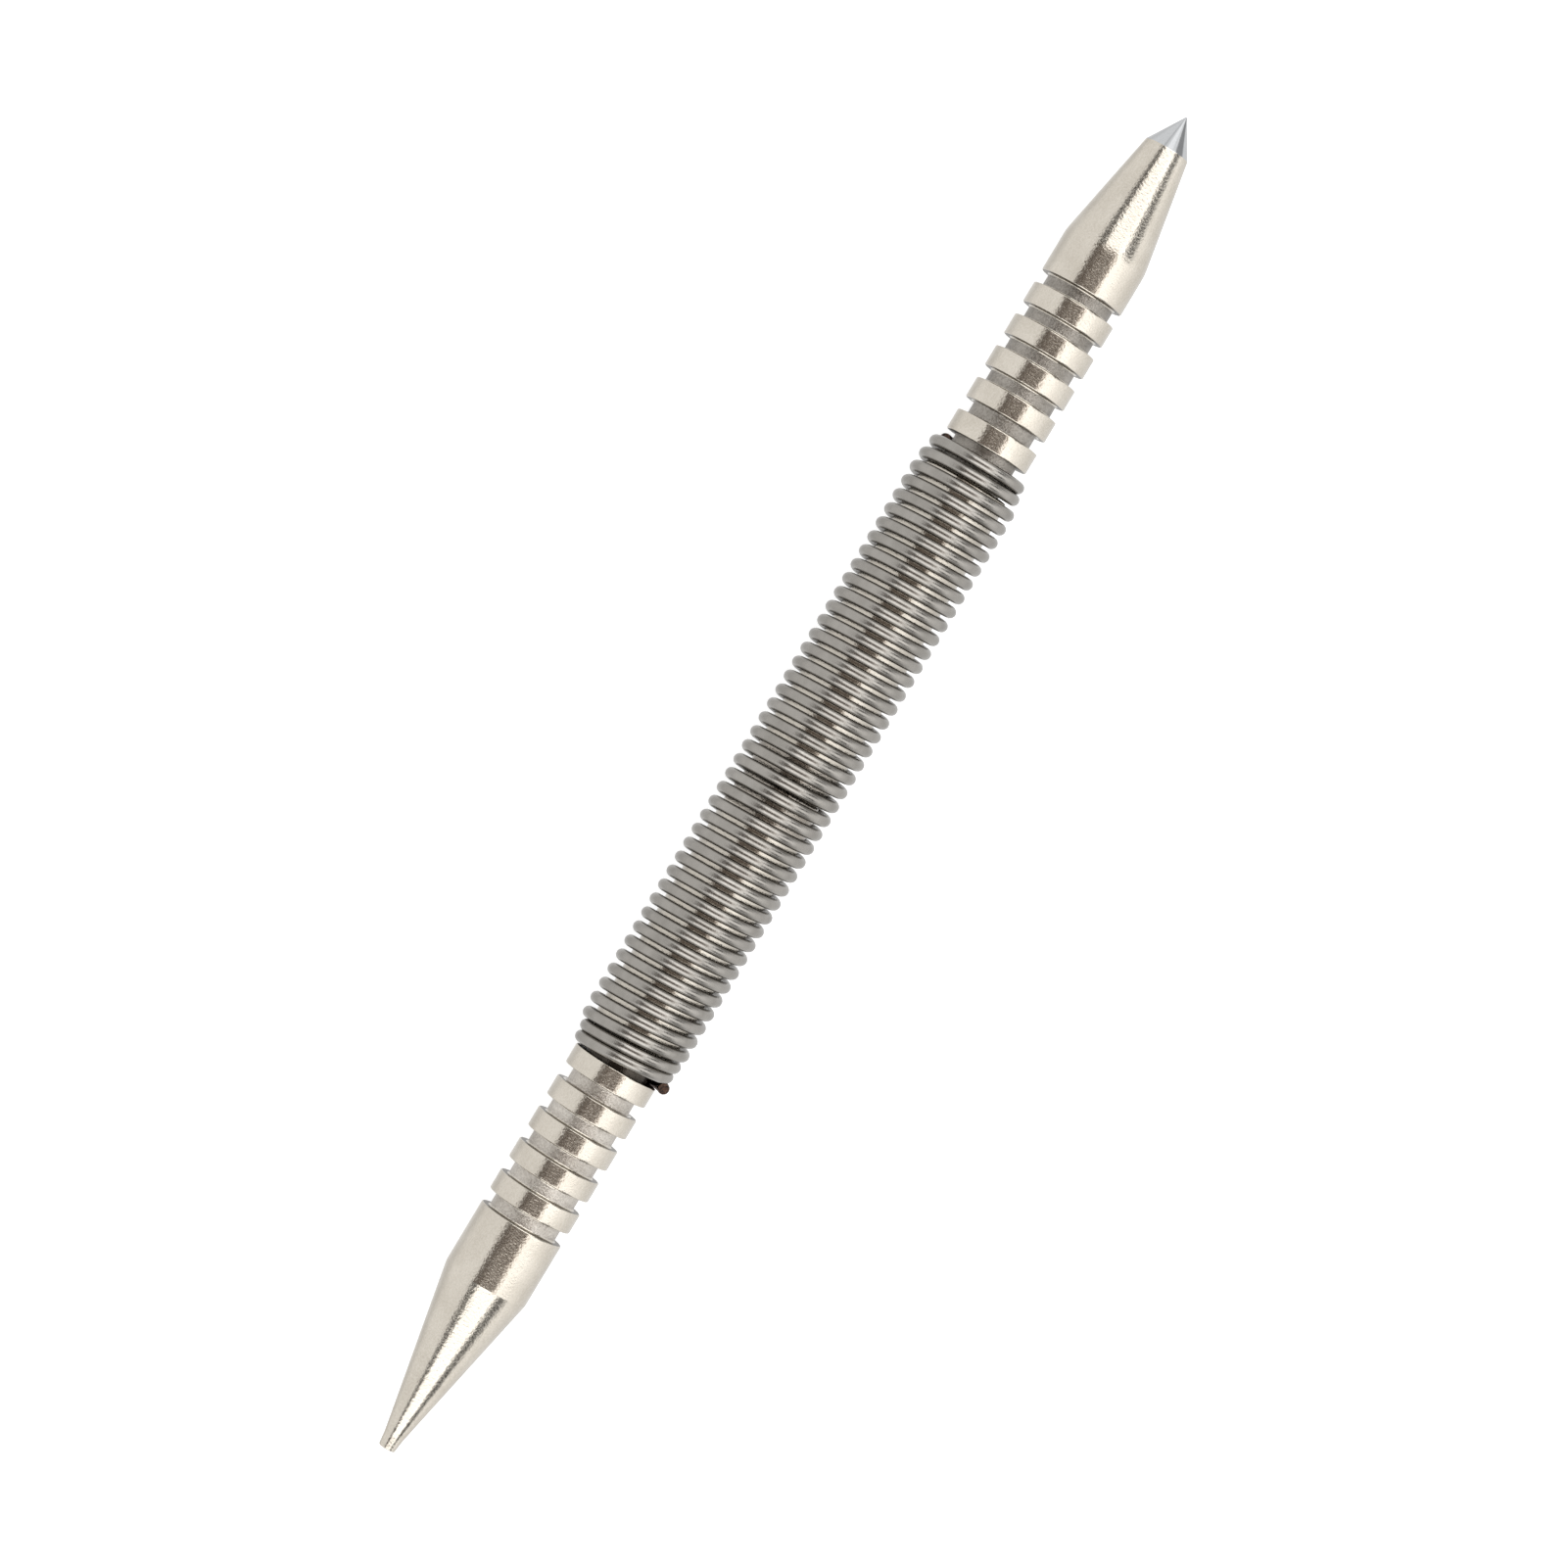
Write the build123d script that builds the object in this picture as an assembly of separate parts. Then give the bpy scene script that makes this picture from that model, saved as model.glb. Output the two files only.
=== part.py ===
from build123d import *
from math import atan, cos, degrees
import os

# Spring-driven nail set and centre punch: two turned steel rods, nose outwards, that meet
# face to face inside one extension spring. Millimetres. The tool lies along X on its spring,
# the centre punch pointing to +X, with the origin below the middle of the tool.

# Rods
OVERALL_LENGTH = 135.5
ROD_RADIUS = 4.0
EDGE_ROUND = 0.12
FACE_GAP = 0.05  # between the two striking faces at rest

# Finger grip: square grooves cut between five rings on each rod
RINGS = 5
GROOVE_RADIUS = 3.25
DEEP_GROOVE_RADIUS = 3.1  # the groove next to the spring
NAIL_FIRST_RING = -43.53  # start of the ring furthest from the spring
NAIL_RING_PITCH = 3.2
NAIL_RING_WIDTH = 1.89
PUNCH_FIRST_RING = 48.65  # the same on the punch, mirrored
PUNCH_RING_PITCH = 3.225
PUNCH_RING_WIDTH = 1.96

# Neck that the end coils close into, and the shoulder that they pull against
NECK_RADIUS = 3.05
NAIL_SHOULDER = -26.25
PUNCH_SHOULDER = 30.65
SHOULDER_ROUND = 0.3

# Inner end of each rod, which strikes the other one
MEETING_PLACE = -0.4
LEAD_LENGTH = 3.4
FACE_RADIUS = 3.65
FACE_ROUND = 0.4

# Nail set nose
NAIL_TIP_RADIUS = 0.78
NAIL_TIP_SWELL = 1.2  # length over which the cone is a little fuller
NAIL_SWELL_RADIUS = 0.92
NAIL_CONE_END = -50.9

# Centre punch nose
PUNCH_CONE_START = 54.0
PUNCH_CONE_BLEND = 12.0
POINT_BASE = 64.4
POINT_BASE_RADIUS = 2.1
POINT_FLAT_RADIUS = 0.06

# Spring, right-handed: conical closed end, open body, conical closed end
WIRE_RADIUS = 0.5
COIL_RADIUS = 4.6  # to the middle of the wire
END_COIL_RADIUS = 4.0
END_TURNS = 2.4
BODY_TURNS = 39.7
BODY_RUNS = 5  # equal runs that the body is swept in
BODY_START = -25.95
BODY_END = 30.29
NAIL_END_PITCH = 0.98
PUNCH_END_PITCH = 1.15
NAIL_WIRE_END_ANGLE = 180.0  # of the cut wire end, from +Y about +X

AXIS_HEIGHT = COIL_RADIUS + WIRE_RADIUS
HALF_LENGTH = OVERALL_LENGTH / 2


def turned(outline):
    """Solid turned about X from (x, radius, corner rounding) points on the outline.

    The outline runs from one end face on the axis to the other.
    """
    points = [(x, radius) for x, radius, _ in outline]
    rounds = [rounding for _, _, rounding in outline]
    profile = FilletPolyline(*points, radius=rounds, close=True)
    solid = revolve(make_face(profile), Axis.X)
    return Pos(0, 0, AXIS_HEIGHT) * solid


def grip(first_ring, pitch, width, towards):
    """Outline points of the five rings, from the rod's body towards the spring."""
    points = [(first_ring - towards * (pitch - width), ROD_RADIUS, EDGE_ROUND)]
    for ring in range(RINGS):
        near = first_ring + towards * ring * pitch
        far = near + towards * width
        floor = DEEP_GROOVE_RADIUS if ring == RINGS - 1 else GROOVE_RADIUS
        points += [
            (points[-1][0], floor, 0),
            (near, floor, 0),
            (near, ROD_RADIUS, EDGE_ROUND),
            (far, ROD_RADIUS, EDGE_ROUND),
        ]
    return points


def shank(last_ring_end, shoulder, towards):
    """Outline points from the last ring over the neck and shank to the striking face."""
    face = MEETING_PLACE - towards * FACE_GAP / 2
    return [
        (last_ring_end, NECK_RADIUS, 0),
        (shoulder, NECK_RADIUS, 0),
        (shoulder, ROD_RADIUS, SHOULDER_ROUND),
        (face - towards * LEAD_LENGTH, ROD_RADIUS, EDGE_ROUND),
        (face, FACE_RADIUS, FACE_ROUND),
        (face, 0, 0),
    ]


def nail_set_rod():
    tip = -HALF_LENGTH
    nose = [
        (tip, 0, 0),
        (tip, NAIL_TIP_RADIUS, EDGE_ROUND),
        (tip + NAIL_TIP_SWELL, NAIL_SWELL_RADIUS, 0),
        (NAIL_CONE_END, ROD_RADIUS, EDGE_ROUND),
    ]
    rings = grip(NAIL_FIRST_RING, NAIL_RING_PITCH, NAIL_RING_WIDTH, 1)
    return turned(nose + rings + shank(rings[-1][0], NAIL_SHOULDER, 1))


def centre_punch_rod():
    tip = HALF_LENGTH
    nose = [
        (tip, 0, 0),
        (tip, POINT_FLAT_RADIUS, 0),
        (POINT_BASE, POINT_BASE_RADIUS, EDGE_ROUND),
        (PUNCH_CONE_START, ROD_RADIUS, PUNCH_CONE_BLEND),
    ]
    rings = grip(PUNCH_FIRST_RING, PUNCH_RING_PITCH, PUNCH_RING_WIDTH, -1)
    return turned(nose + rings + shank(rings[-1][0], PUNCH_SHOULDER, -1))


def coils(pitch, turns, start_x, towards, start_angle, end_radius):
    """Wire along a right-handed helix from COIL_RADIUS, running along +X or -X.

    The section stays in a plane through the axis, so that runs meet face to face.
    """
    height = pitch * turns
    widening = atan((end_radius - COIL_RADIUS) / height)
    pitch_on_cone = pitch / cos(widening)
    path = Helix(pitch_on_cone, height, COIL_RADIUS, cone_angle=degrees(widening))
    section = Plane(origin=(COIL_RADIUS, 0, 0), z_dir=(0, 1, 0)) * Circle(WIRE_RADIUS)
    wire = Solid.sweep(section.face(), path.edge(), is_frenet=True)
    across = Vector(0, 1, 0).rotate(Axis.X, start_angle)
    place = Plane(origin=(start_x, 0, AXIS_HEIGHT), x_dir=across, z_dir=(towards, 0, 0))
    return place * wire


def tension_spring():
    run_turns = BODY_TURNS / BODY_RUNS
    run_length = (BODY_END - BODY_START) / BODY_RUNS
    start_angle = NAIL_WIRE_END_ANGLE + 360 * END_TURNS
    end_angle = start_angle + 360 * BODY_TURNS
    runs = [
        coils(
            run_length / run_turns,
            run_turns,
            BODY_START + run * run_length,
            1,
            start_angle + 360 * run * run_turns,
            COIL_RADIUS,
        )
        for run in range(BODY_RUNS)
    ]
    runs.append(coils(NAIL_END_PITCH, END_TURNS, BODY_START, -1, start_angle, END_COIL_RADIUS))
    runs.append(coils(PUNCH_END_PITCH, END_TURNS, BODY_END, 1, end_angle, END_COIL_RADIUS))
    return runs[0].fuse(*runs[1:])


parts = {
    "nail_set_rod": nail_set_rod(),
    "centre_punch_rod": centre_punch_rod(),
    "tension_spring": tension_spring(),
}

os.makedirs("parts", exist_ok=True)
for node, shape in parts.items():
    export_step(shape, f"parts/{node}.step")
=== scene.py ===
"""A spring-driven nail set and centre punch lying on a pale floor, seen from straight above.

Metres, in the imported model's frame: the tool lies along X, the centre punch pointing to +X.
"""
import math

import bmesh
import bpy
import numpy as np
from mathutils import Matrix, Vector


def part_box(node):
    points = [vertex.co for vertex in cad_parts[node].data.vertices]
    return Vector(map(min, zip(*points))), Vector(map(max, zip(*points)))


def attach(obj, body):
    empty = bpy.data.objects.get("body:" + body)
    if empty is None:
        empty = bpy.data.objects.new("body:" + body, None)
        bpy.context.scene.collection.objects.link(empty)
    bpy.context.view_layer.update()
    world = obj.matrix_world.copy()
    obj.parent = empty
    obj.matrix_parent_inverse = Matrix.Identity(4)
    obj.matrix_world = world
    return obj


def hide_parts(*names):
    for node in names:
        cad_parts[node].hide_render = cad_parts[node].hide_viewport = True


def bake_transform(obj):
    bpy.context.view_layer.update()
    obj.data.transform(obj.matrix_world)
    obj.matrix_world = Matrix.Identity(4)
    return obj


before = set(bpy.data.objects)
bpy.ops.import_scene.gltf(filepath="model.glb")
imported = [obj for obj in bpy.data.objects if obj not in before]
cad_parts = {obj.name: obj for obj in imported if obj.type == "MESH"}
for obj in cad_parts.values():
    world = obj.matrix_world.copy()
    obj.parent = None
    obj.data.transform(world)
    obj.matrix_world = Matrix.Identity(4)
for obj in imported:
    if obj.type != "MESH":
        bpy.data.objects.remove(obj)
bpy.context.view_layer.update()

MM = 0.001

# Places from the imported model
TIP_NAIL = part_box("nail_set_rod")[0][0]
TIP_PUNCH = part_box("centre_punch_rod")[1][0]
FACE_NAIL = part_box("nail_set_rod")[1][0]
FACE_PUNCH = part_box("centre_punch_rod")[0][0]
SPRING_LOW, SPRING_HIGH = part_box("tension_spring")
AXIS_HEIGHT = (SPRING_LOW[2] + SPRING_HIGH[2]) / 2

# Rods
ROD_RADIUS = 4.0 * MM
EDGE_ROUND = 0.13 * MM

# Five grip rings on each rod, with grooves between them
RINGS = 5
RING_ROUND = 0.1 * MM
GROOVE_RADIUS = 3.25 * MM
DEEP_GROOVE_RADIUS = 3.1 * MM  # the groove next to the spring
GROOVE_FILLET = 0.2 * MM
NAIL_FIRST_RING = -43.53 * MM
NAIL_RING_PITCH = 3.2 * MM
NAIL_RING_WIDTH = 1.89 * MM
NAIL_LAST_RING_END = NAIL_FIRST_RING + (RINGS - 1) * NAIL_RING_PITCH + NAIL_RING_WIDTH
PUNCH_FIRST_RING = 48.65 * MM
PUNCH_RING_PITCH = 3.225 * MM
PUNCH_RING_WIDTH = 1.96 * MM

# Neck that the end coils close into, its shoulder, and the rod's inner end
NECK_RADIUS = 3.05 * MM
NAIL_SHOULDER = -26.25 * MM
PUNCH_SHOULDER = 30.65 * MM
SHOULDER_ROUND = 0.3 * MM
LEAD_LENGTH = 3.4 * MM
FACE_RADIUS = 3.65 * MM
FACE_ROUND = 0.4 * MM

# Noses
NAIL_TIP_RADIUS = 0.78 * MM
NAIL_TIP_SWELL = 1.2 * MM
NAIL_SWELL_RADIUS = 0.92 * MM
NAIL_SWELL_BLEND = 3.0 * MM
NAIL_CONE_END = -50.9 * MM
PUNCH_CONE_START = 54.0 * MM
PUNCH_CONE_BLEND = 5.0 * MM
POINT_BASE = 64.4 * MM
POINT_BASE_RADIUS = 2.1 * MM
POINT_FLAT_RADIUS = 0.06 * MM
POINT_FLAT_ROUND = 0.04 * MM

# Radii that part one metal from the next
# below this radius the nail set's neck is painted nearly black as the shade in its recess
NECK_SHADE_BELOW = 3.3 * MM
GROOVE_FLOOR_BELOW = 1.004 * GROOVE_RADIUS
# the rings' side walls between these radii are darkened as painted shade
RING_SIDE_FROM = GROOVE_RADIUS + 0.7 * GROOVE_FILLET
RING_SIDE_TO = ROD_RADIUS - RING_ROUND

# Spring, with turns counted from the +Y side
WIRE_RADIUS = 0.54 * MM
COIL_RADIUS = 4.57 * MM
FIRST_TURN = 0.5
LAST_TURN = 44.94
BODY_START = -26.02 * MM
NAIL_BODY_TURN = 2.9
PUNCH_BODY_TURN = 43.9
BODY_PITCH = 1.4166 * MM
NAIL_END_PITCH = 1.06 * MM
PUNCH_END_PITCH = 0.95 * MM
CUT_END_INSET = 0.07 * MM  # taken off the wire's radius at its two cut ends

# How far the coils lean along X, in the middle and at the ends
MIDDLE_LEAN = 0.045 * MM
NAIL_END_LEAN = -0.17 * MM
NAIL_LEAN_TURN = 3.0
NAIL_LEAN_FADE = 4.5  # turns in which it falls to a third
PUNCH_END_LEAN = 0.09 * MM
PUNCH_LEAN_TURNS = (36.0, 43.0)

# End coils: the turns over which they draw in, by how much, and how far off centre along Y
NAIL_CLOSING_TURNS = (3.5, 1.4)
NAIL_CLOSING = 0.42 * MM
NAIL_OFF_CENTRE = -0.17 * MM
PUNCH_CLOSING_TURNS = (42.3, 44.2)
PUNCH_CLOSING = 0.40 * MM
PUNCH_OFF_CENTRE = 0.07 * MM

# Last part of the wire: in and then flared out on the nail set's side, tucked in on the other
NAIL_TAIL_TURNS = (1.0, 0.7)
NAIL_TAIL_IN = 0.40 * MM
NAIL_FLARE_TURNS = (0.68, 0.5)
NAIL_FLARE_OUT = 0.66 * MM
PUNCH_TAIL_TURNS = (44.4, 45.0)
PUNCH_TAIL_IN = 0.30 * MM
PUNCH_TUCK_TURNS = (44.3, 44.9)
PUNCH_TUCK_BACK = 0.20 * MM

# Quarter turn of the rods' sheen, which spreads it along them and not round them
SHEEN_TURN = 0.25

# Mesh density
ROD_SEGMENTS = 224
ROW_STEP = 0.16 * MM
ARC_ROWS = 5
STEPS_PER_TURN = 84
WIRE_SEGMENTS = 28
NAIL_BURNT_STEPS = 9  # steps along the wire that are burnt brown at its two cut ends
PUNCH_BURNT_STEPS = 6
SHARP_ANGLE = math.radians(35)

# Floor
FLOOR_HALF = 3.0
FLOOR_DROP = 0.02 * MM  # keeps it just below the lowest coils

# Camera: a long lens straight above the tool, which runs up to the right of the picture
LENS = 121.0
SENSOR = 36.0
CAMERA_HEIGHT = 460 * MM
CAMERA_OFFSET = (6.8 * MM, 0.12 * MM)
LENS_SHIFT = (-0.0264, -0.0438)  # keeps the tool in the middle of the picture
PICTURE_TURN = math.radians(-58.98)


# ---------------------------------------------------------------- nodes


def new_material(name, colour, metallic, roughness):
    material = bpy.data.materials.new(name)
    material.use_nodes = True
    shader = material.node_tree.nodes["Principled BSDF"]
    shader.inputs["Base Color"].default_value = (*colour, 1)
    shader.inputs["Metallic"].default_value = metallic
    shader.inputs["Roughness"].default_value = roughness
    return material


def node(tree, kind, **settings):
    made = tree.nodes.new(kind)
    for key, value in settings.items():
        if key in made.inputs:
            made.inputs[key].default_value = value
        else:
            setattr(made, key, value)
    return made


def feed(tree, socket, value):
    """Set a socket to a number, or link another node's output to it."""
    if isinstance(value, (int, float)):
        socket.default_value = value
    else:
        tree.links.new(value, socket)


def math_node(tree, operation, a, b):
    made = node(tree, "ShaderNodeMath", operation=operation)
    feed(tree, made.inputs[0], a)
    feed(tree, made.inputs[1], b)
    return made.outputs[0]


def product(tree, first, *others):
    for other in others:
        first = math_node(tree, "MULTIPLY", first, other)
    return first


def weighted_sum(tree, *terms):
    """Sum of (output, weight) pairs."""
    total = product(tree, *terms[0])
    for term in terms[1:]:
        total = math_node(tree, "ADD", total, product(tree, *term))
    return total


def ramp(tree, value, low, high, to_low=0, to_high=1):
    """to_low at low, to_high at high, in a straight line between them and level outside."""
    made = node(tree, "ShaderNodeMapRange")
    feed(tree, made.inputs["Value"], value)
    feed(tree, made.inputs["From Min"], low)
    feed(tree, made.inputs["From Max"], high)
    feed(tree, made.inputs["To Min"], to_low)
    feed(tree, made.inputs["To Max"], to_high)
    return made.outputs["Result"]


def noise(tree, source, scale, stretch=(1, 1, 1), detail=4.0, skew=0.0):
    """Noise with features 1/scale long, shorter along an axis with a larger stretch."""
    mapping = node(tree, "ShaderNodeMapping", Scale=stretch, Rotation=(0, 0, skew))
    tree.links.new(source, mapping.inputs["Vector"])
    texture = node(tree, "ShaderNodeTexNoise", Scale=scale, Detail=detail)
    tree.links.new(mapping.outputs["Vector"], texture.inputs["Vector"])
    return texture.outputs["Fac"]


def bump(tree, height, shader):
    """Bumps of a height in metres."""
    made = node(tree, "ShaderNodeBump", Distance=1.0, Strength=1.0)
    tree.links.new(height, made.inputs["Height"])
    tree.links.new(made.outputs["Normal"], shader.inputs["Normal"])


def colour_mix(tree, factor, first, second):
    mix = node(tree, "ShaderNodeMix", data_type="RGBA")
    mix.inputs["A"].default_value = (*first, 1)
    mix.inputs["B"].default_value = (*second, 1)
    tree.links.new(factor, mix.inputs["Factor"])
    return mix.outputs["Result"]


def tint(tree, value, dark, light, shader):
    tree.links.new(colour_mix(tree, value, dark, light), shader.inputs["Base Color"])


# ---------------------------------------------------------------- materials


def plated_metal(name, dark, light, roughness, along, mark_depth, pit_depth):
    """Plated turned steel with slanting marks, pits and cloudiness.

    The sheen is spread along the rod by the amount along. Depths are in metres.
    """
    material = new_material(name, light, 1.0, roughness)
    tree = material.node_tree
    shader = tree.nodes["Principled BSDF"]
    shader.inputs["Anisotropic"].default_value = along
    shader.inputs["Anisotropic Rotation"].default_value = SHEEN_TURN
    round_x = node(tree, "ShaderNodeTangent", direction_type="RADIAL", axis="X")
    tree.links.new(round_x.outputs["Tangent"], shader.inputs["Tangent"])
    place = node(tree, "ShaderNodeTexCoord").outputs["Object"]
    marks = noise(tree, place, scale=3400, stretch=(1.7, 1.0, 1.0), detail=3.0, skew=0.5)
    pits = noise(tree, place, scale=5600, detail=3.0)
    cloud = noise(tree, place, scale=420, detail=5.0)
    bump(tree, weighted_sum(tree, (marks, mark_depth), (pits, pit_depth)), shader)
    shade = weighted_sum(tree, (pits, 0.5), (cloud, 0.5))
    tint(tree, ramp(tree, shade, 0.35, 0.65), dark, light, shader)
    uneven = ramp(tree, pits, 0.3, 0.7, roughness - 0.03, roughness + 0.05)
    tree.links.new(uneven, shader.inputs["Roughness"])
    return material


NICKEL = plated_metal(
    "nickel_plate",
    dark=(0.585, 0.537, 0.464),
    light=(0.70, 0.652, 0.574),
    roughness=0.19,
    along=0.65,
    mark_depth=24e-6,
    pit_depth=9e-6,
)
NAIL_GROOVES = plated_metal(
    "nickel_in_nail_grooves",
    dark=(0.40, 0.36, 0.315),
    light=(0.72, 0.68, 0.62),
    roughness=0.36,
    along=0.4,
    mark_depth=40e-6,
    pit_depth=60e-6,
)
PUNCH_GROOVES = plated_metal(
    "nickel_in_punch_grooves",
    dark=(0.22, 0.20, 0.175),
    light=(0.46, 0.43, 0.39),
    roughness=0.36,
    along=0.4,
    mark_depth=40e-6,
    pit_depth=60e-6,
)
# Side walls of the rings: nickel darkened as painted shade in the grooves
SHADED_RING_SIDE = plated_metal(
    "ring_sides_painted_shade",
    dark=(0.13, 0.115, 0.095),
    light=(0.24, 0.22, 0.19),
    roughness=0.3,
    along=0.0,
    mark_depth=20e-6,
    pit_depth=20e-6,
)
# Shanks inside the spring: nickel darkened as painted shade cast by the coils
SHADED_SHANK = plated_metal(
    "shanks_painted_shade",
    dark=(0.49, 0.45, 0.39),
    light=(0.60, 0.56, 0.495),
    roughness=0.19,
    along=0.5,
    mark_depth=18e-6,
    pit_depth=9e-6,
)
# Lead of the nail set's shank inside the spring: darker nickel, painted shade under the coils
SHADED_LEAD = plated_metal(
    "leads_painted_shade",
    dark=(0.30, 0.27, 0.235),
    light=(0.42, 0.385, 0.34),
    roughness=0.2,
    along=0.5,
    mark_depth=24e-6,
    pit_depth=16e-6,
)
# Neck between the nail set's last ring and the spring: nearly black nickel, painted shade in the
# recess
SHADED_NECK = plated_metal(
    "neck_painted_shade",
    dark=(0.035, 0.03, 0.025),
    light=(0.085, 0.074, 0.062),
    roughness=0.25,
    along=0.3,
    mark_depth=20e-6,
    pit_depth=20e-6,
)
GROUND_POINT = plated_metal(
    "ground_steel",
    dark=(0.54, 0.55, 0.56),
    light=(0.59, 0.60, 0.61),
    roughness=0.08,
    along=0.0,
    mark_depth=1.5e-6,
    pit_depth=0.5e-6,
)


def wire_metal():
    """Drawn spring wire, satin, with faint draw lines along it."""
    material = new_material("spring_wire", (0.31, 0.30, 0.285), 1.0, 0.26)
    tree = material.node_tree
    shader = tree.nodes["Principled BSDF"]
    place = node(tree, "ShaderNodeUVMap", uv_map="wire").outputs["UV"]
    lines = noise(tree, place, scale=1.0, stretch=(0.5, 24, 1))
    specks = noise(tree, place, scale=1.0, stretch=(7, 10, 1), detail=3.0)
    cloud = noise(tree, place, scale=1.0, stretch=(0.7, 1.2, 1))
    bump(tree, weighted_sum(tree, (lines, 2.2e-6), (specks, 8e-6)), shader)
    shade = ramp(tree, cloud, 0.3, 0.7)
    tint(tree, shade, (0.30, 0.284, 0.26), (0.39, 0.371, 0.343), shader)
    tree.links.new(ramp(tree, specks, 0.3, 0.7, 0.23, 0.31), shader.inputs["Roughness"])
    return material


def cut_end_metal():
    """Sheared and burnt end of the wire, brown to nearly black."""
    material = new_material("cut_wire_end", (0.08, 0.045, 0.03), 0.5, 0.5)
    tree = material.node_tree
    shader = tree.nodes["Principled BSDF"]
    place = node(tree, "ShaderNodeTexCoord").outputs["Object"]
    grain = noise(tree, place, scale=5200)
    shade = ramp(tree, grain, 0.38, 0.62)
    tint(tree, shade, (0.012, 0.009, 0.008), (0.13, 0.07, 0.045), shader)
    bump(tree, product(tree, grain, 60e-6), shader)
    return material


WIRE = wire_metal()
CUT_END = cut_end_metal()


# ---------------------------------------------------------------- meshes


def tube_faces(rings, segments):
    """Faces between rings of points, and a fan at each end to the two points after them."""
    faces = []
    for ring in range(rings - 1):
        a, b = ring * segments, (ring + 1) * segments
        for j in range(segments):
            k = (j + 1) % segments
            faces.append((a + j, a + k, b + k, b + j))
    first_end, last_end = rings * segments, rings * segments + 1
    last_ring = (rings - 1) * segments
    for j in range(segments):
        k = (j + 1) % segments
        faces.append((first_end, k, j))
        faces.append((last_end, last_ring + j, last_ring + k))
    return faces


def finished_object(name, mesh):
    """Object of a mesh, shaded smooth but for its sharp corners, with its faces outwards."""
    mesh.update()
    work = bmesh.new()
    work.from_mesh(mesh)
    bmesh.ops.recalc_face_normals(work, faces=work.faces)
    work.to_mesh(mesh)
    work.free()
    mesh.shade_smooth()
    mesh.set_sharp_from_angle(angle=SHARP_ANGLE)
    made = bpy.data.objects.new(name, mesh)
    bpy.context.scene.collection.objects.link(made)
    return made


# ---------------------------------------------------------------- rods


def arc_at(before, corner, after, rounding):
    """Points of the arc that rounds a corner between two neighbouring points."""
    corner = np.array(corner)
    before = np.array(before) - corner
    after = np.array(after) - corner
    before /= np.linalg.norm(before)
    after /= np.linalg.norm(after)
    half = math.acos(np.clip(before @ after, -1, 1)) / 2
    middle = before + after
    middle /= np.linalg.norm(middle)
    centre = corner + middle * rounding / math.sin(half)
    start = corner + before * rounding / math.tan(half) - centre
    end = corner + after * rounding / math.tan(half) - centre
    sweep = math.pi - 2 * half
    points = []
    for k in range(ARC_ROWS + 1):
        t = k / ARC_ROWS
        along = start * math.sin((1 - t) * sweep) + end * math.sin(t * sweep)
        points.append(tuple(centre + along / math.sin(sweep)))
    return points


def rounded(outline):
    """Points of an (x, radius, rounding) outline with each rounded corner as an arc."""
    places = [place for *place, _ in outline]
    points = []
    for i, (*place, rounding) in enumerate(outline):
        if rounding == 0 or i in (0, len(outline) - 1):
            points.append(tuple(place))
        else:
            points += arc_at(places[i - 1], place, places[i + 1], rounding)
    return np.array(points)


def rows_of(points):
    """The outline's points with long stretches divided into steps of about ROW_STEP."""
    rows = [points[0]]
    for a, b in zip(points[:-1], points[1:]):
        steps = max(1, math.ceil(np.linalg.norm(b - a) / ROW_STEP))
        rows.extend(a + (b - a) * k / steps for k in range(1, steps + 1))
    return np.array(rows)


def grip(first_ring, pitch, width, towards):
    """Outline points of the five rings, from the rod's body towards the spring."""
    points = [(first_ring - towards * (pitch - width), ROD_RADIUS, EDGE_ROUND)]
    for ring in range(RINGS):
        near = first_ring + towards * ring * pitch
        far = near + towards * width
        floor = DEEP_GROOVE_RADIUS if ring == RINGS - 1 else GROOVE_RADIUS
        points += [
            (points[-1][0], floor, GROOVE_FILLET),
            (near, floor, GROOVE_FILLET),
            (near, ROD_RADIUS, RING_ROUND),
            (far, ROD_RADIUS, RING_ROUND),
        ]
    return points


def shank(last_ring_end, shoulder, face, towards):
    """Outline points from the last ring over the neck and shank to the striking face."""
    return [
        (last_ring_end, NECK_RADIUS, 0),
        (shoulder, NECK_RADIUS, 0),
        (shoulder, ROD_RADIUS, SHOULDER_ROUND),
        (face - towards * LEAD_LENGTH, ROD_RADIUS, EDGE_ROUND),
        (face, FACE_RADIUS, FACE_ROUND),
        (face, 0, 0),
    ]


def nail_set_outline():
    nose = [
        (TIP_NAIL, 0, 0),
        (TIP_NAIL, NAIL_TIP_RADIUS, EDGE_ROUND),
        (TIP_NAIL + NAIL_TIP_SWELL, NAIL_SWELL_RADIUS, NAIL_SWELL_BLEND),
        (NAIL_CONE_END, ROD_RADIUS, EDGE_ROUND),
    ]
    rings = grip(NAIL_FIRST_RING, NAIL_RING_PITCH, NAIL_RING_WIDTH, 1)
    return nose + rings + shank(rings[-1][0], NAIL_SHOULDER, FACE_NAIL, 1)


def centre_punch_outline():
    nose = [
        (TIP_PUNCH, 0, 0),
        (TIP_PUNCH, POINT_FLAT_RADIUS, POINT_FLAT_ROUND),
        (POINT_BASE, POINT_BASE_RADIUS, EDGE_ROUND),
        (PUNCH_CONE_START, ROD_RADIUS, PUNCH_CONE_BLEND),
    ]
    rings = grip(PUNCH_FIRST_RING, PUNCH_RING_PITCH, PUNCH_RING_WIDTH, -1)
    return nose + rings + shank(rings[-1][0], PUNCH_SHOULDER, FACE_PUNCH, -1)


def in_grip(x):
    """Whether a place along the tool is among a rod's rings or on its neck."""
    nail_side = NAIL_FIRST_RING - NAIL_RING_PITCH < x < NAIL_SHOULDER
    punch_side = PUNCH_SHOULDER < x < PUNCH_FIRST_RING + PUNCH_RING_PITCH
    return nail_side or punch_side


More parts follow.
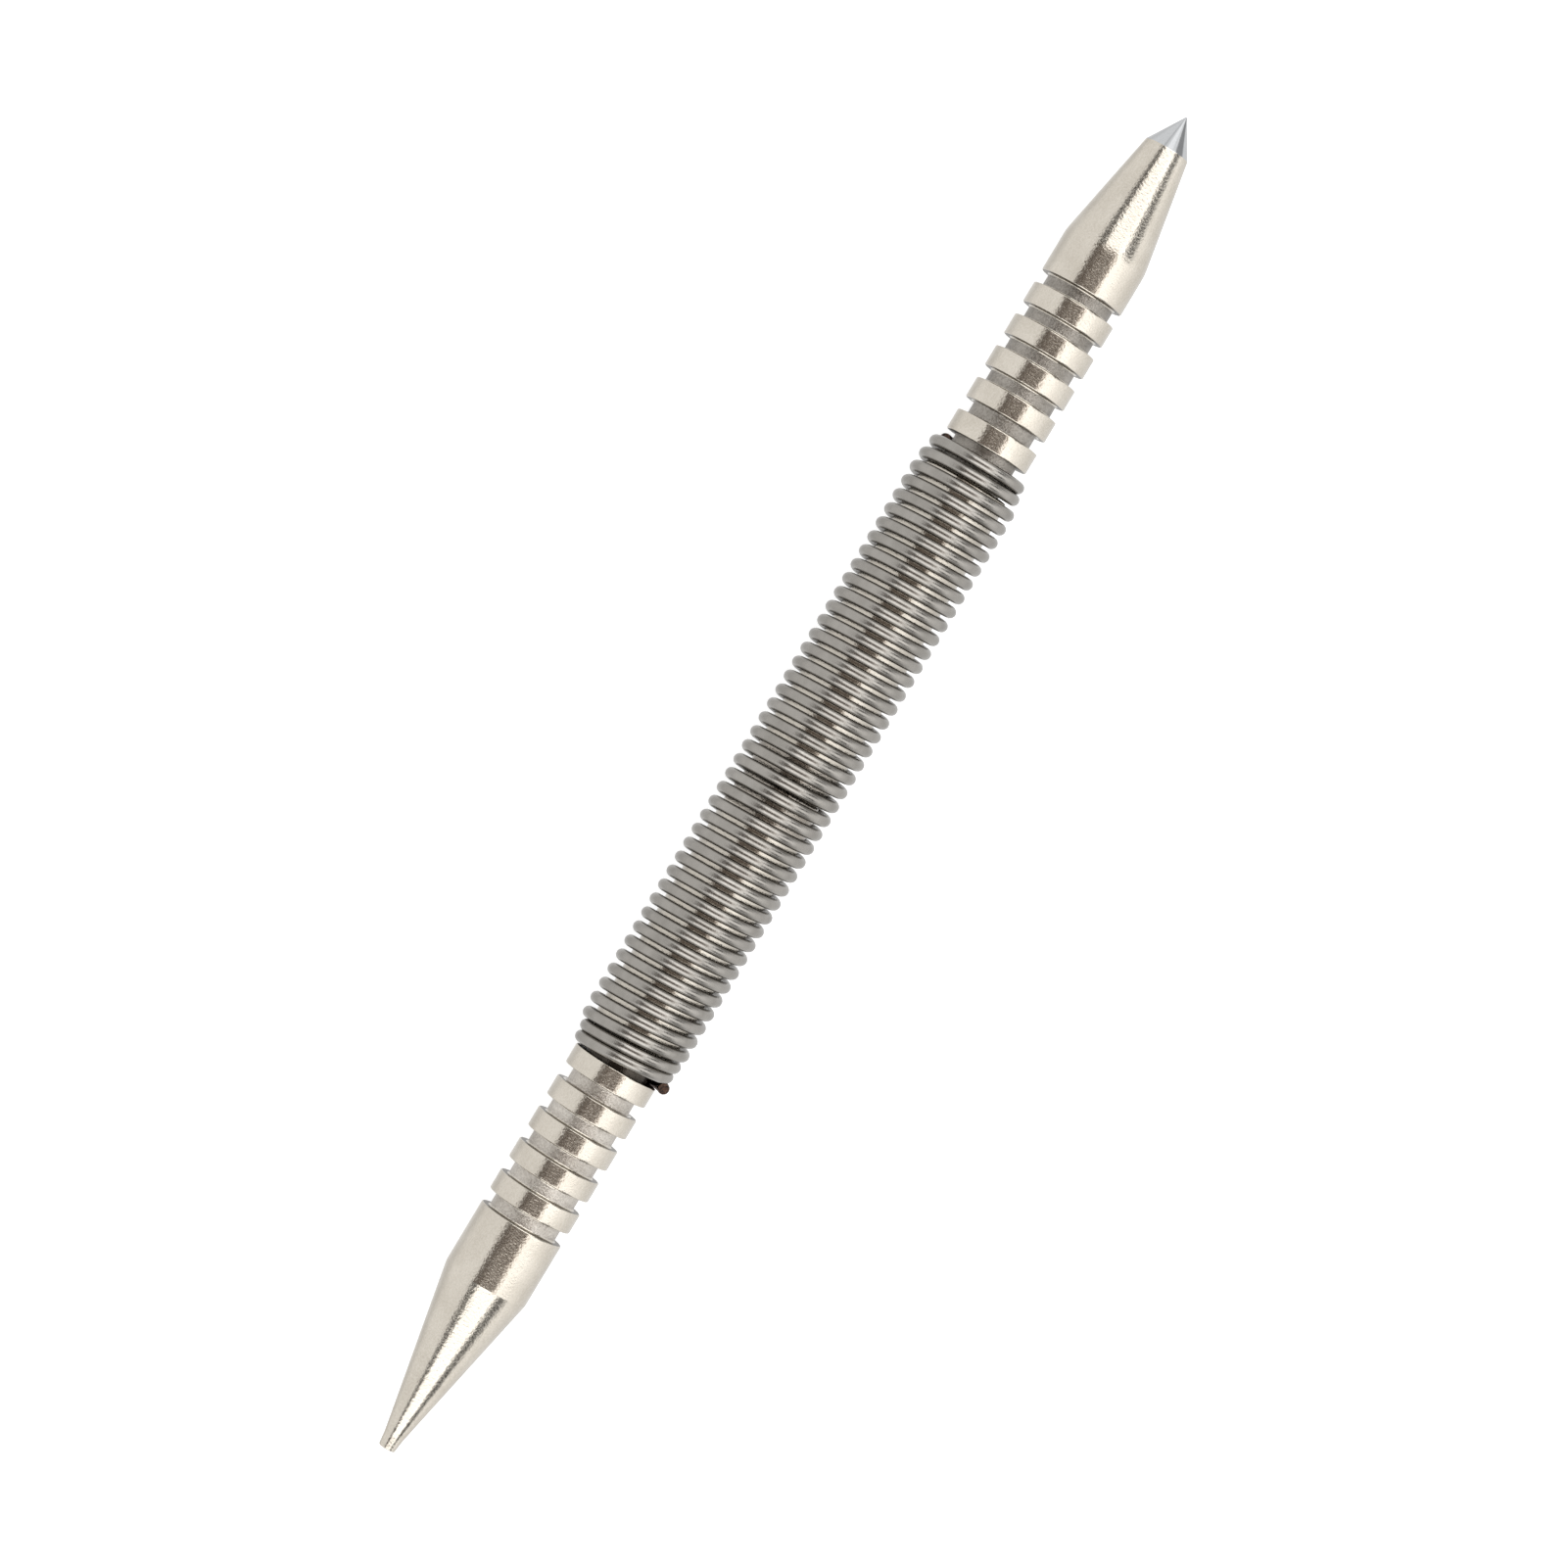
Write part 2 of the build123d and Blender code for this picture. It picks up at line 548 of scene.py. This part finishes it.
def metal_at(x, radius, groove_floors):
    """The metal that a rod shows at a place; the lead, shank, neck and ring-side metals are
    darkened as painted shade.
    """
    if x > POINT_BASE:
        return GROUND_POINT
    # painted shade under the coils on the nail set's lead
    if abs(x - FACE_NAIL) < LEAD_LENGTH:
        return SHADED_LEAD
    # painted shade under the coils
    if NAIL_SHOULDER < x < PUNCH_SHOULDER:
        return SHADED_SHANK
    # painted shade in the recess between the last ring and the spring
    if NAIL_LAST_RING_END < x < NAIL_SHOULDER and radius < NECK_SHADE_BELOW:
        return SHADED_NECK
    if in_grip(x) and radius < GROOVE_FLOOR_BELOW:
        return groove_floors
    # painted shade on the rings' side walls
    if in_grip(x) and RING_SIDE_FROM < radius < RING_SIDE_TO:
        return SHADED_RING_SIDE
    return NICKEL


def turned_rod(name, outline, groove_floors):
    """Rod turned about the tool's axis, closed at both ends on the axis."""
    rows = rows_of(rounded(outline))
    inner = rows[1:-1]
    angle = np.arange(ROD_SEGMENTS) * 2 * math.pi / ROD_SEGMENTS
    grid = np.empty((len(inner), ROD_SEGMENTS, 3))
    grid[:, :, 0] = inner[:, :1]
    grid[:, :, 1] = inner[:, 1:] * np.cos(angle)
    grid[:, :, 2] = inner[:, 1:] * np.sin(angle) + AXIS_HEIGHT
    ends = [(rows[0][0], 0, AXIS_HEIGHT), (rows[-1][0], 0, AXIS_HEIGHT)]
    points = np.vstack([grid.reshape(-1, 3), ends])
    mesh = bpy.data.meshes.new(name)
    mesh.from_pydata(points.tolist(), [], tube_faces(len(inner), ROD_SEGMENTS))
    metals = [NICKEL, groove_floors, GROUND_POINT, SHADED_NECK, SHADED_RING_SIDE, SHADED_SHANK, SHADED_LEAD]
    for metal in metals:
        mesh.materials.append(metal)
    for polygon in mesh.polygons:
        x, y, z = polygon.center
        metal = metal_at(x, math.hypot(y, z - AXIS_HEIGHT), groove_floors)
        polygon.material_index = metals.index(metal)
    return finished_object(name, mesh)


# ---------------------------------------------------------------- spring


def eased(turn, turns):
    """0 up to the first of two turn counts, 1 past the second, and smooth between them."""
    start, end = turns
    t = np.clip((turn - start) / (end - start), 0.0, 1.0)
    return t * t * (3 - 2 * t)


def spring_line(turn):
    """Middle of the wire at each turn count, with the end coils drawn in and off centre."""
    angle = 2 * math.pi * turn
    x = BODY_START + (turn - NAIL_BODY_TURN) * BODY_PITCH
    x = x + np.clip(NAIL_BODY_TURN - turn, 0, None) * (BODY_PITCH - NAIL_END_PITCH)
    x = x - np.clip(turn - PUNCH_BODY_TURN, 0, None) * (BODY_PITCH - PUNCH_END_PITCH)
    x = x - PUNCH_TUCK_BACK * eased(turn, PUNCH_TUCK_TURNS)
    past_nail_end = np.clip(turn - NAIL_LEAN_TURN, 0, None)
    lean = MIDDLE_LEAN + NAIL_END_LEAN * np.exp(-past_nail_end / NAIL_LEAN_FADE)
    lean = lean + PUNCH_END_LEAN * eased(turn, PUNCH_LEAN_TURNS) ** 2
    x = x + lean * np.cos(angle)
    nail_end = eased(turn, NAIL_CLOSING_TURNS)
    punch_end = eased(turn, PUNCH_CLOSING_TURNS)
    radius = COIL_RADIUS - NAIL_CLOSING * nail_end - PUNCH_CLOSING * punch_end
    radius = radius - NAIL_TAIL_IN * eased(turn, NAIL_TAIL_TURNS)
    radius = radius + NAIL_FLARE_OUT * eased(turn, NAIL_FLARE_TURNS)
    radius = radius - PUNCH_TAIL_IN * eased(turn, PUNCH_TAIL_TURNS)
    off_centre = NAIL_OFF_CENTRE * nail_end + PUNCH_OFF_CENTRE * punch_end
    y = off_centre + radius * np.cos(angle)
    z = AXIS_HEIGHT + radius * np.sin(angle)
    return np.stack([x, y, z], axis=1)


def rings_along(line, radii):
    """Rings of points round a line, each square to it and started on its outer side."""
    tangent = np.gradient(line, axis=0)
    tangent /= np.linalg.norm(tangent, axis=1)[:, None]
    along_x = np.array([1.0, 0, 0])
    side = along_x - tangent * (tangent @ along_x)[:, None]
    side /= np.linalg.norm(side, axis=1)[:, None]
    outward = np.cross(side, tangent)
    angle = np.arange(WIRE_SEGMENTS) * 2 * math.pi / WIRE_SEGMENTS
    round_line = np.cos(angle)[:, None] * outward[:, None] + np.sin(angle)[:, None] * side[:, None]
    return line[:, None] + radii[:, None, None] * round_line


def wire_uvs(line):
    """Texture places for the wire's faces: millimetres along it, and the part of a turn.

    The triangles that close its two ends have none.
    """
    steps = np.linalg.norm(np.diff(line, axis=0), axis=1)
    length = np.concatenate([[0], np.cumsum(steps)]) / MM
    uvs = []
    for u0, u1 in zip(length[:-1], length[1:]):
        for j in range(WIRE_SEGMENTS):
            v0, v1 = j / WIRE_SEGMENTS, (j + 1) / WIRE_SEGMENTS
            uvs += [(u0, v0), (u0, v1), (u1, v1), (u1, v0)]
    triangles = 2 * WIRE_SEGMENTS
    uvs += [(0, 0)] * (3 * triangles)
    return np.array(uvs, np.float32)


def spring_coil():
    """One length of wire wound from the nail set's end to the centre punch's."""
    steps = int((LAST_TURN - FIRST_TURN) * STEPS_PER_TURN)
    line = spring_line(np.linspace(FIRST_TURN, LAST_TURN, steps + 1))
    radii = np.full(steps + 1, WIRE_RADIUS)
    radii[[0, -1]] -= CUT_END_INSET
    rings = rings_along(line, radii)
    points = np.vstack([rings.reshape(-1, 3), line[:1], line[-1:]])
    mesh = bpy.data.meshes.new("spring_coil")
    mesh.from_pydata(points.tolist(), [], tube_faces(len(rings), WIRE_SEGMENTS))
    layer = mesh.uv_layers.new(name="wire")
    layer.data.foreach_set("uv", wire_uvs(line).ravel())
    metals = [WIRE, CUT_END]
    for metal in metals:
        mesh.materials.append(metal)
    nail_burnt = NAIL_BURNT_STEPS * WIRE_SEGMENTS
    punch_burnt = PUNCH_BURNT_STEPS * WIRE_SEGMENTS
    sides = steps * WIRE_SEGMENTS
    for index in [*range(nail_burnt), *range(sides - punch_burnt, len(mesh.polygons))]:
        mesh.polygons[index].material_index = metals.index(CUT_END)
    return finished_object("spring_coil", mesh)


# ---------------------------------------------------------------- floor, light and camera


def pale_floor():
    """Wide floor that glows a little, and that the metal doesn't mirror."""
    mesh = bpy.data.meshes.new("floor")
    corners = [(-1, -1), (1, -1), (1, 1), (-1, 1)]
    points = [(x * FLOOR_HALF, y * FLOOR_HALF, -FLOOR_DROP) for x, y in corners]
    mesh.from_pydata(points, [], [(0, 1, 2, 3)])
    material = new_material("pale_floor", (0.6, 0.6, 0.6), 0.0, 0.9)
    shader = material.node_tree.nodes["Principled BSDF"]
    shader.inputs["Emission Color"].default_value = (1, 1, 1, 1)
    shader.inputs["Emission Strength"].default_value = 0.7
    mesh.materials.append(material)
    floor = bpy.data.objects.new("floor", mesh)
    floor.visible_glossy = False
    bpy.context.scene.collection.objects.link(floor)


class Tent:
    """Patches of the sky that light the tool, by direction and mirrored at X = 0."""

    MIDDLE = -1  # below any |X|, so that a patch runs across the middle
    END = 1.1  # beyond any direction's X or Y

    def __init__(self, tree):
        self.tree = tree
        split = node(tree, "ShaderNodeSeparateXYZ")
        tree.links.new(node(tree, "ShaderNodeTexCoord").outputs["Generated"], split.inputs[0])
        self.away = math_node(tree, "ABSOLUTE", split.outputs["X"], 0)
        self.side, self.up = split.outputs["Y"], split.outputs["Z"]

    def between(self, value, low, high, edge):
        first = ramp(self.tree, value, low - edge, low + edge)
        last = ramp(self.tree, value, high - edge, high + edge, 1, 0)
        return product(self.tree, first, last)

    def area(self, x_low, x_high, y_low, y_high, edge=0.03):
        """Four-sided patch above the horizon."""
        return product(
            self.tree,
            self.between(self.away, x_low, x_high, edge),
            self.between(self.side, y_low, y_high, edge),
            ramp(self.tree, self.up, -0.02, 0.06),
        )

    def spot(self, centre, radius, edge):
        """Round patch about a direction, with its radius in degrees."""
        x, y, z = (float(v) for v in np.array(centre) / np.linalg.norm(centre))
        cosine = weighted_sum(self.tree, (self.away, x), (self.side, y), (self.up, z))
        low = math.cos(math.radians(radius + edge))
        high = math.cos(math.radians(radius - edge))
        return ramp(self.tree, cosine, low, high)

    def horizon_glow(self):
        """Low on the -Y side."""
        return product(
            self.tree, ramp(self.tree, self.side, -0.75, -0.95), ramp(self.tree, self.up, -0.4, 0.3)
        )

    def below(self):
        """Round straight down."""
        return ramp(self.tree, self.up, -0.95, -0.45, 1, 0)

    def below_far_side(self):
        """Under the horizon on the +Y side."""
        return product(
            self.tree, ramp(self.tree, self.side, 0.35, 0.65), ramp(self.tree, self.up, -0.25, -0.6)
        )

    def key_panel(self):
        """Raised panel on the -Y side, beside the middle of the tool."""
        return product(
            self.tree,
            self.between(self.away, self.MIDDLE, 0.28, 0.03),
            ramp(self.tree, self.up, 0.27, 0.48),
            ramp(self.tree, self.up, 0.79, 0.91, 1, 0),
            ramp(self.tree, self.side, -0.1, -0.2),
        )


def tent_level(tent, opening):
    """Light from each direction: 1, with patches painted over it and each other in turn."""
    patches = [
        (tent.horizon_glow(), 1.4),
        (tent.below(), 0.85),
        (tent.below_far_side(), 0.78),
        (tent.area(tent.MIDDLE, 0.88, -0.66, 0.25), 2.2),  # overhead panel
        (tent.area(0.0, 0.62, 0.20, 0.48), 0.05),  # dark strip beside it
        (tent.spot((0.48, -0.77, 0.42), 13, 5), 0.02),  # dark line down the cones
        (tent.spot((0.82, -0.57, -0.07), 17, 4), 0.4),  # dim flanks of the coils
        (tent.key_panel(), 1.8),
        (tent.area(0.90, tent.END, -0.27, 0.06, 0.04), 1.42),  # bright and dim end panels
        (tent.area(0.90, tent.END, 0.19, 0.30, 0.03), 0.72),
        (tent.area(0.965, tent.END, -tent.END, tent.END, 0.015), 0.15),  # dark end walls
        (opening, 0.13),
    ]
    level = 1.0
    for patch, strength in patches:
        mix = node(tent.tree, "ShaderNodeMix", data_type="FLOAT")
        feed(tent.tree, mix.inputs["Factor"], patch)
        feed(tent.tree, mix.inputs["A"], level)
        feed(tent.tree, mix.inputs["B"], strength)
        level = mix.outputs["Result"]
    return level


def studio_light():
    """A white tent: bright panels overhead and to the -Y side, a dark opening for the camera.

    The metal mirrors the tent, and the camera sees plain white behind the tool.
    """
    world = bpy.data.worlds.new("studio")
    bpy.context.scene.world = world
    world.use_nodes = True
    tree = world.node_tree
    tree.nodes.clear()
    tent = Tent(tree)
    opening = tent.area(tent.MIDDLE, 0.34, -0.52, 0.46, 0.06)
    reflected = node(tree, "ShaderNodeBackground")
    colour = colour_mix(tree, opening, (1, 1, 1), (1.2, 1.0, 0.87))
    tree.links.new(colour, reflected.inputs["Color"])
    tree.links.new(tent_level(tent, opening), reflected.inputs["Strength"])
    seen = node(tree, "ShaderNodeBackground", Strength=1.0, Color=(1, 1, 1, 1))
    choose = node(tree, "ShaderNodeMixShader")
    tree.links.new(node(tree, "ShaderNodeLightPath").outputs["Is Camera Ray"], choose.inputs[0])
    tree.links.new(reflected.outputs[0], choose.inputs[1])
    tree.links.new(seen.outputs[0], choose.inputs[2])
    output = node(tree, "ShaderNodeOutputWorld")
    tree.links.new(choose.outputs[0], output.inputs["Surface"])


def camera_above():
    """Camera that looks straight down, turned so that the tool runs up to the right."""
    data = bpy.data.cameras.new("camera")
    data.lens = LENS
    data.sensor_width = SENSOR
    data.shift_x, data.shift_y = LENS_SHIFT
    data.clip_start = 0.01
    camera = bpy.data.objects.new("camera", data)
    camera.location = (*CAMERA_OFFSET, AXIS_HEIGHT + CAMERA_HEIGHT)
    camera.rotation_euler = (0, 0, PICTURE_TURN)
    bpy.context.scene.collection.objects.link(camera)
    bpy.context.scene.camera = camera


nail_set = turned_rod("nail_set_turned", nail_set_outline(), NAIL_GROOVES)
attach(nail_set, "nail_set")
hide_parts("nail_set_rod")

centre_punch = turned_rod("centre_punch_turned", centre_punch_outline(), PUNCH_GROOVES)
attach(centre_punch, "centre_punch")
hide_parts("centre_punch_rod")

spring = spring_coil()
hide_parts("tension_spring")
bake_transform(spring)

pale_floor()
studio_light()
camera_above()
bpy.context.scene.view_settings.view_transform = "Standard"
